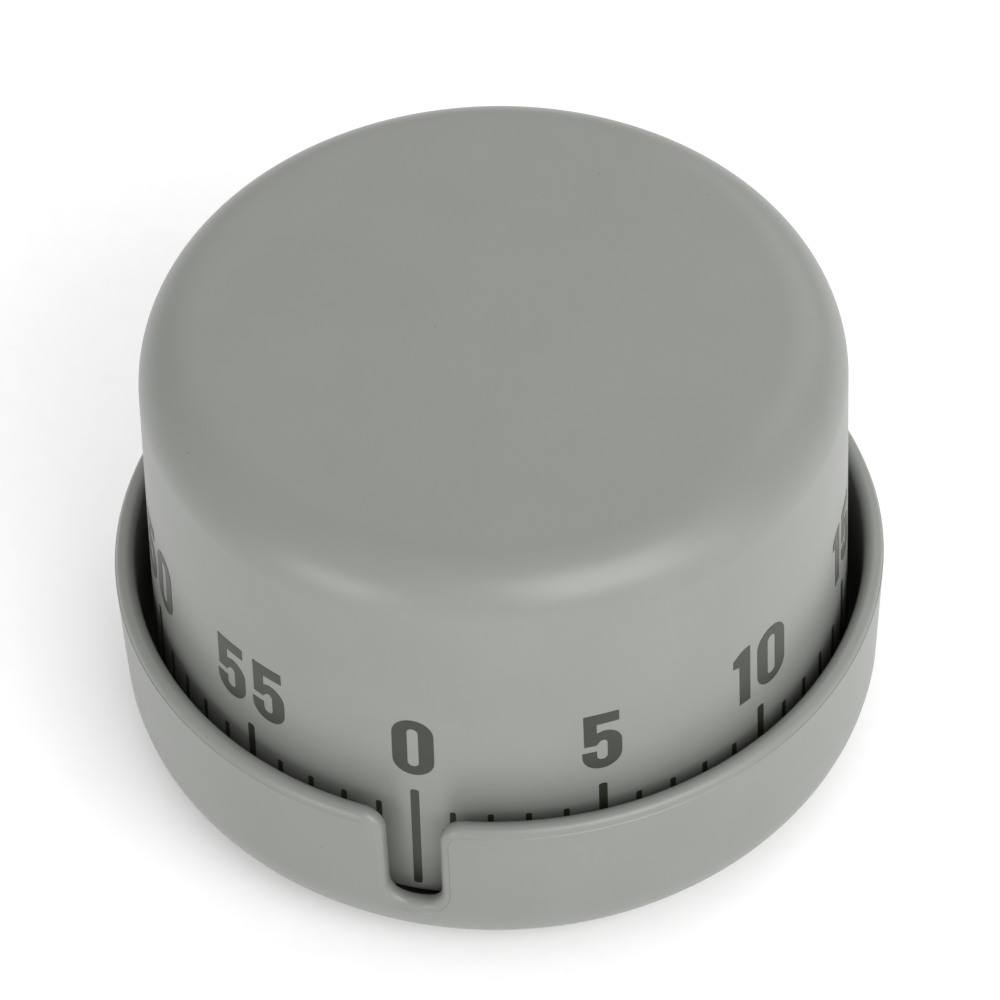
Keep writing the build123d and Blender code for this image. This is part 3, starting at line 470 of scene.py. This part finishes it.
def case_floor(bm):
    """Flat floor inside the bottom round, with the groove for the rubber ring."""
    edge_r = CASE_R - CASE_DRAFT - CASE_ROUND
    groove_top = CASE_UNDER + RING_DEPTH
    below = [(RING_IN, CASE_UNDER), (RING_IN, groove_top), (RING_OUT, groove_top), (RING_OUT, CASE_UNDER),
             (edge_r, CASE_UNDER)]
    for points in (below, [(RING_IN, CASE_FLOOR), (edge_r, CASE_FLOOR)]):
        verts = [bm.verts.new((x, 0.0, z)) for x, z in points]
        edges = [bm.edges.new(pair) for pair in zip(verts[:-1], verts[1:])]
        bmesh.ops.spin(bm, geom=verts + edges, cent=(0, 0, 0), axis=(0, 0, 1), angle=2 * math.pi,
                       steps=SPIN_STEPS, use_merge=True)


def slotted_plate():
    """Middle of the floor; its outer wall is left off, because the spun part carries on there."""
    bm = bmesh.new()
    for k in range(SOUND_SLOTS):
        drawn = set(bm.verts)
        low, high, soft = SLOT_FROM - SLOT_HALF, SLOT_TO + SLOT_HALF, SLOT_HALF * 0.98
        rounded_face(bm, [(low, -SLOT_HALF, soft, SLOT_STEPS), (high, -SLOT_HALF, soft, SLOT_STEPS),
                          (high, SLOT_HALF, soft, SLOT_STEPS), (low, SLOT_HALF, soft, SLOT_STEPS)])
        bmesh.ops.rotate(bm, verts=[v for v in bm.verts if v not in drawn], cent=(0, 0, 0),
                         matrix=Matrix.Rotation(2 * math.pi * k / SOUND_SLOTS, 3, "Y"))
    bmesh.ops.rotate(bm, verts=bm.verts, cent=(0, 0, 0), matrix=Matrix.Rotation(math.pi / 2, 3, "X"))
    bmesh.ops.create_circle(bm, cap_ends=False, segments=SPIN_STEPS, radius=RING_IN)
    fill_outlines(bm)
    bmesh.ops.translate(bm, vec=(0, 0, CASE_UNDER), verts=bm.verts)
    thicken(bm, bm.faces[:], (0, 0, CASE_FLOOR - CASE_UNDER))
    outer = [face for face in bm.faces if len({round(v.co.z, 3) for v in face.verts}) > 1
             and all(v.co.xy.length > RING_IN - 1e-3 for v in face.verts)]
    bmesh.ops.delete(bm, geom=outer, context="FACES_ONLY")
    return bm


def screw_boss(degrees):
    """Hollow post for one screw, round above and open at its top."""
    bm = bmesh.new()
    spin_profile(bm, [(0.0, CASE_FLOOR - SINK), (BOSS_R, CASE_FLOOR - SINK),
                      (BOSS_R, MOVEMENT_LOW, BOSS_EDGE, 2), (SCREW_R, MOVEMENT_LOW, BOSS_EDGE, 2),
                      (SCREW_R, SCREW_FROM), (0.0, SCREW_FROM)], BOSS_STEPS)
    turn = math.radians(degrees)
    bmesh.ops.translate(bm, vec=(BOSS_PCR * math.cos(turn), BOSS_PCR * math.sin(turn), 0), verts=bm.verts)
    return bm


print(SOUND_SLOTS, "sound slots and", len(BOSS_ANGLES), "bosses")

# %% [markdown]
# On the real timer the wall, the floor and the bosses are one moulding, so here they become one mesh. The
# wall, the ring's groove and the slotted plate meet edge to edge, so their points are welded there. The
# bosses are closed shells that reach a little way into the floor, which is simpler than a Boolean and
# looks the same. A count of open edges tells whether the shell is closed.

# %% Join the case
WELD = 0.004                # how far apart meeting points may be, in millimetres
CASE_CREASE = 22            # degrees; the fine step along the rim stays crisp
case_mesh = bmesh.new()
case_wall(case_mesh)
case_floor(case_mesh)
join_in(case_mesh, slotted_plate())
bmesh.ops.remove_doubles(case_mesh, verts=case_mesh.verts, dist=WELD)
bmesh.ops.recalc_face_normals(case_mesh, faces=case_mesh.faces)
for boss in BOSS_ANGLES:
    join_in(case_mesh, screw_boss(boss))
print("open edges left in the case:", sum(1 for edge in case_mesh.edges if len(edge.link_faces) != 2))
case_piece = finish_mesh(case_mesh, "case_shell", case_plastic_painted_shade, "case")
shade_smooth(case_piece, CASE_CREASE)
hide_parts("base_cup")

# %% [markdown]
# The dial is one deep moulded cap. Its shell is a plain solid of revolution, so its section is drawn once,
# with the big soft round at the top and the small one at the skirt, and spun. A curve with a Screw
# modifier and then Solidify could do it too, but a section that is drawn whole can have a round inside
# that differs from the one outside.

# %% Dial cap
def cap_radius(height):
    """Outer radius of the dial's leaning side at a height."""
    rise = (height - CAP_BOTTOM) / (CAP_TOP - CAP_ROUND - CAP_BOTTOM)
    return CAP_R_BOTTOM + (CAP_R_TOP - CAP_R_BOTTOM) * rise


CAP_EDGE = 0.4
EDGE_STEPS = 3
ceiling = CAP_TOP - CAP_WALL
cap_mesh = bmesh.new()
spin_profile(cap_mesh, [
    (0.0, CAP_TOP), (cap_radius(CAP_TOP), CAP_TOP, CAP_ROUND, 2 * ROUND_STEPS),
    (CAP_R_BOTTOM, CAP_BOTTOM, CAP_EDGE, EDGE_STEPS),
    (CAP_R_BOTTOM - CAP_WALL, CAP_BOTTOM, CAP_EDGE, EDGE_STEPS),
    (cap_radius(ceiling) - CAP_WALL, ceiling, CAP_ROUND - CAP_WALL, ROUND_STEPS), (0.0, ceiling)])
print("dial wall", CAP_WALL, "mm, its shoulder rounded", CAP_ROUND, "mm")

# %% [markdown]
# Under its ceiling the dial has a hub whose bore has a flat, so that it drives the arbor, and a rib that
# meets a fixed stop. A disc cut by a plane gives the D of the bore, and pushing that D into the solid hub
# makes the hole. Both are closed shells that reach a little way into the cap, which is simpler than
# stitching their faces to its own, and nothing of the overlap shows.

# %% Hub and stop rib under the dial
HUB_R = 5.0
HUB_STEPS = 48
BORE_R = 2.51
BORE_FLAT = 1.81
BORE_TOP = 46.8
HUB_LOW = 37.02
RIB_IN = 29.2
RIB_OUT = 32.84
RIB_HALF = 0.75
RIB_LOW = 33.0
RIB_EDGE = 0.3
RIB_UNDER = 3.5             # how far the rib ends below the ceiling
RIB_TURN = math.radians(72)
GROWN_IN = 0.3              # how far hub and rib reach into the shell


def hub():
    """Boss under the ceiling with a D-shaped blind bore."""
    bm = bmesh.new()
    bmesh.ops.create_circle(bm, cap_ends=True, segments=HUB_STEPS, radius=BORE_R)
    bmesh.ops.bisect_plane(bm, geom=bm.verts[:] + bm.edges[:] + bm.faces[:], plane_co=(BORE_FLAT, 0, 0),
                           plane_no=(1, 0, 0), clear_outer=True, dist=ON_PLANE)
    bmesh.ops.create_circle(bm, cap_ends=False, segments=HUB_STEPS, radius=HUB_R)
    fill_outlines(bm)
    rim_of_bore = [edge for edge in bm.edges if edge.is_boundary
                   and all(v.co.length < BORE_R + TOUCH for v in edge.verts)]
    bmesh.ops.contextual_create(bm, geom=rim_of_bore)
    bmesh.ops.translate(bm, vec=(0, 0, HUB_LOW), verts=bm.verts)
    thicken(bm, bm.faces[:], (0, 0, ceiling + GROWN_IN - HUB_LOW))
    mouth = [face for face in bm.faces
             if all(v.co.z < HUB_LOW + TOUCH and v.co.xy.length < BORE_R + TOUCH for v in face.verts)]
    thicken(bm, mouth, (0, 0, BORE_TOP - HUB_LOW))
    return bm


def stop_rib():
    """Upright rib inside the skirt."""
    bm = bmesh.new()
    rib_top = ceiling - RIB_UNDER
    rounded_face(bm, [(RIB_IN, RIB_LOW, RIB_EDGE, EDGE_STEPS), (RIB_OUT, RIB_LOW), (RIB_OUT, rib_top),
                      (RIB_IN, rib_top, RIB_EDGE, EDGE_STEPS)])
    bmesh.ops.translate(bm, vec=(0, -RIB_HALF, 0), verts=bm.verts)
    thicken(bm, bm.faces[:], (0, 2 * RIB_HALF, 0))
    bmesh.ops.rotate(bm, verts=bm.verts, cent=(0, 0, 0), matrix=Matrix.Rotation(RIB_TURN, 3, "Z"))
    return bm


DIAL_CREASE = 40            # degrees
join_in(cap_mesh, hub())
join_in(cap_mesh, stop_rib())
print("open edges left in the dial:", sum(1 for edge in cap_mesh.edges if len(edge.link_faces) != 2))
dial_piece = finish_mesh(cap_mesh, "dial_shell", dial_plastic, "dial")
shade_smooth(dial_piece, DIAL_CREASE)
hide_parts("dial_cap")

# %% [markdown]
# The numbers are heavy, narrow and upright, and 7.6 mm high. Each figure is drawn flat as a few corners,
# and a corner with a radius is rounded by a vertex bevel, so a nought is two rounded boxes. A text object
# could be used, but the built-in font has other figures, and any other font is one more file to carry.

# %% Shapes of the figures, in millimetres from the lower left corner
# a figure: (width, [outline, ...]), and a corner is (x, z) or (x, z, radius)
FIGURES = {
    "0": (4.05, [[(0, 0, 2.0), (4.05, 0, 2.0), (4.05, 7.6, 2.0), (0, 7.6, 2.0)],
                 [(1.47, 1.17, 0.54), (2.57, 1.17, 0.54), (2.57, 6.4, 0.54), (1.47, 6.4, 0.54)]]),
    "1": (2.21, [[(0.8, 0), (2.21, 0), (2.21, 7.5), (1.25, 7.5, 0.5), (0, 6.65), (0, 5.65), (0.8, 5.42)]]),
    "2": (4.0, [[(0, 0), (3.95, 0), (3.95, 1.3), (1.8, 1.3), (1.8, 1.7, 0.3), (4.0, 4.15, 1.2),
                 (4.0, 7.6, 1.9), (0, 7.6, 1.9), (0, 5.1), (1.43, 5.1), (1.43, 6.35, 0.54),
                 (2.55, 6.35, 0.54), (2.55, 4.4, 0.9), (0, 1.9, 0.9)]]),
    "3": (4.0, [[(0, 0, 1.8), (4.0, 0, 1.9), (4.0, 3.6, 1.1), (3.3, 3.9), (4.0, 4.2, 1.1),
                 (4.0, 7.6, 1.9), (0, 7.6, 1.8), (0, 5.4), (1.4, 5.4), (1.4, 6.35, 0.52), (2.5, 6.35, 0.52),
                 (2.5, 4.5, 0.5), (1.35, 4.5), (1.35, 3.25), (2.5, 3.25, 0.5), (2.5, 1.25, 0.52),
                 (1.4, 1.25, 0.52), (1.4, 2.2), (0, 2.2)]]),
    "4": (4.3, [[(2.3, 0), (3.7, 0), (3.7, 1.55), (4.3, 1.55), (4.3, 2.75), (3.7, 2.75), (3.7, 7.6),
                 (1.75, 7.6), (0, 2.85), (0, 1.55), (2.3, 1.55)],
                [(2.3, 2.75), (2.3, 5.8), (1.2, 2.75)]]),
    "5": (3.93, [[(0.17, 7.57), (0.2, 3.34), (1.38, 3.3), (1.85, 3.92, 0.2), (2.49, 3.92, 0.5),
                  (2.49, 1.23, 0.52), (1.45, 1.23, 0.5), (1.42, 2.47), (0, 2.47), (0, 0, 1.9),
                  (3.93, 0, 1.95), (3.93, 5.17, 1.75), (2.1, 5.17), (1.45, 4.95), (1.45, 6.2),
                  (3.68, 6.22), (3.68, 7.57, 0.15)]]),
}
print("figures drawn:", " ".join(FIGURES))

# %% [markdown]
# The scale has a mark for each minute, longer and heavier at every fifth, and a number above each long
# mark. Numbers and marks are two pieces, as two passes of one print would be. They could be painted in the
# shader, but then they would be lost when the shape is exported, so they are real geometry. A flat outline
# is filled, given the thickness of the ink, cut in columns and bent round the cap, which leans inwards a
# little towards its top.

# %% Printed scale
INK = 0.03
FIGURE_LOW = 24.2
FIGURE_GAP = 1.0
MINUTES = 60
NUMBER_EVERY = 5
TICK_LOW = 8.4
LONG_TICK = (0.85, 22.0)    # width, and height of its top
SHORT_TICK = (0.58, 19.35)
TICK_SOFT = 0.32            # corner round as a share of the mark's width
FIGURE_STEPS = 6
COLUMN = 0.5                # a bent print is cut in columns this wide
PRINT_TURN = math.radians(-0.43)


def flat_print(outlines, x_from, z_from):
    """Filled flat shape in the XZ plane with the ink's thickness."""
    bm = bmesh.new()
    for outline in outlines:
        rounded_face(bm, [(x_from + c[0], z_from + c[1], *((c[2], FIGURE_STEPS) if len(c) > 2 else ()))
                          for c in outline])
    fill_outlines(bm)
    thicken(bm, bm.faces[:], (0, INK, 0))
    low = min(v.co.x for v in bm.verts)
    high = max(v.co.x for v in bm.verts)
    slice_flat(bm, low, high, max(1, round((high - low) / COLUMN)), (1, 0, 0))
    return bm


def print_on_cap(target, outlines, width, z_from, minute):
    """Bend a flat print round the cap, centred on a minute, and add it to the target mesh."""
    bm = flat_print(outlines, -width / 2, z_from)
    centre = 2 * math.pi * minute / MINUTES + PRINT_TURN
    for vert in bm.verts:
        angle = centre + vert.co.x / cap_radius(z_from)
        radius = cap_radius(vert.co.z) + vert.co.y
        vert.co = Vector((radius * math.sin(angle), -radius * math.cos(angle), vert.co.z))
    join_in(target, bm)


def number_outlines(text):
    """Outlines of a whole number, and its width."""
    outlines, x = [], 0.0
    for figure in text:
        width, shapes = FIGURES[figure]
        outlines += [[(c[0] + x, *c[1:]) for c in shape] for shape in shapes]
        x += width + FIGURE_GAP
    return outlines, x - FIGURE_GAP


def tick_outline(width, height):
    """Upright bar with soft corners."""
    soft = width * TICK_SOFT
    return [[(0, 0, soft), (width, 0, soft), (width, height, soft), (0, height, soft)]]


numbers = bmesh.new()
for minute in range(0, MINUTES, NUMBER_EVERY):
    outlines, width = number_outlines(str(minute))
    print_on_cap(numbers, outlines, width, FIGURE_LOW, minute)
finish_mesh(numbers, "dial_numbers", ink, "dial")

ticks = bmesh.new()
for minute in range(MINUTES):
    width, tick_top = LONG_TICK if minute % NUMBER_EVERY == 0 else SHORT_TICK
    print_on_cap(ticks, tick_outline(width, tick_top - TICK_LOW), width, TICK_LOW, minute)
finish_mesh(ticks, "minute_marks", ink, "dial")

# %% [markdown]
# A sheet of white paper lies under the timer. It is lit a little from within, as a light table is, so that
# it stays white right up to the case. A white surround alone would give the same plain ground, but a sheet
# also takes the timer's soft shadow and throws light back up under its round.

# %% Paper floor
PAPER_GLOW = 0.1
PAPER_DARK, PAPER_LIGHT = 0.89, 0.91
FIBRE_MM = 2.5
FLOOR_R = 900.0
FLOOR_STEPS = 64
floor_mesh = bmesh.new()
bmesh.ops.create_circle(floor_mesh, cap_ends=True, segments=FLOOR_STEPS, radius=FLOOR_R)
floor_data = bpy.data.meshes.new("floor")
bmesh.ops.scale(floor_mesh, vec=(MM, MM, MM), verts=floor_mesh.verts)
floor_mesh.to_mesh(floor_data)
floor_mesh.free()
floor = bpy.data.objects.new("floor", floor_data)
bpy.context.scene.collection.objects.link(floor)
paper, paper_tree, paper_shader = new_material("white_paper")
fibre = add(paper_tree, "ShaderNodeTexNoise",
            {"Vector": add(paper_tree, "ShaderNodeTexCoord").outputs["Object"]},
            scale=1 / (FIBRE_MM * MM))
cloudy = ramp(paper_tree, fibre.outputs["Fac"], [(0.3, grey(PAPER_DARK)), (0.7, grey(PAPER_LIGHT))])
paper_tree.links.new(cloudy, paper_shader.inputs["Base Color"])
paper_shader.inputs["Roughness"].default_value = 0.9
paper_shader.inputs["Emission Color"].default_value = grey(1.0)
paper_shader.inputs["Emission Strength"].default_value = PAPER_GLOW
floor_data.materials.append(paper)
print("paper", 2 * FLOOR_R, "mm across")

# %% [markdown]
# The light is a bright plain surround with five soft boxes. The key from the right makes the broad soft
# streak on the dial's shoulder, two low ones draw its sides, and two behind lift its far edge. Point lamps
# would be simpler, but they give hard spots on a matt grain.

# %% Surround and soft boxes
SURROUND = 0.77
LOOK_AT = 25.0              # height that the lamps aim at
LAMP_AWAY = 600.0
world = bpy.data.worlds.new("studio")
bpy.context.scene.world = world
world.use_nodes = True
world.node_tree.nodes["Background"].inputs["Color"].default_value = grey(1.0)
world.node_tree.nodes["Background"].inputs["Strength"].default_value = SURROUND


def softbox(name, turn, rise, size, power):
    """Square area lamp aimed at the timer; turn is its bearing from -Y towards +X, in degrees."""
    data = bpy.data.lights.new(name, "AREA")
    data.shape = "SQUARE"
    data.size = size * MM
    data.energy = power
    lamp = bpy.data.objects.new(name, data)
    turn, rise = math.radians(turn), math.radians(rise)
    towards = Vector((math.sin(turn) * math.cos(rise), -math.cos(turn) * math.cos(rise), math.sin(rise)))
    place = Matrix.Translation((towards * LAMP_AWAY + Vector((0, 0, LOOK_AT))) * MM)
    lamp.matrix_world = place @ (-towards).to_track_quat("-Z", "Y").to_matrix().to_4x4()
    bpy.context.scene.collection.objects.link(lamp)


# name, bearing and rise in degrees, size in millimetres, power in watts
SOFTBOXES = [
    ("key_right", 45, 36, 420, 2.24),
    ("low_left", -30, 12, 250, 0.7),
    ("low_right", 70, 12, 250, 0.3),
    ("back_right", 160, 36, 420, 0.57),
    ("back_left", -150, 36, 420, 0.22),
]
for lamp in SOFTBOXES:
    softbox(*lamp)
print(len(SOFTBOXES), "soft boxes")
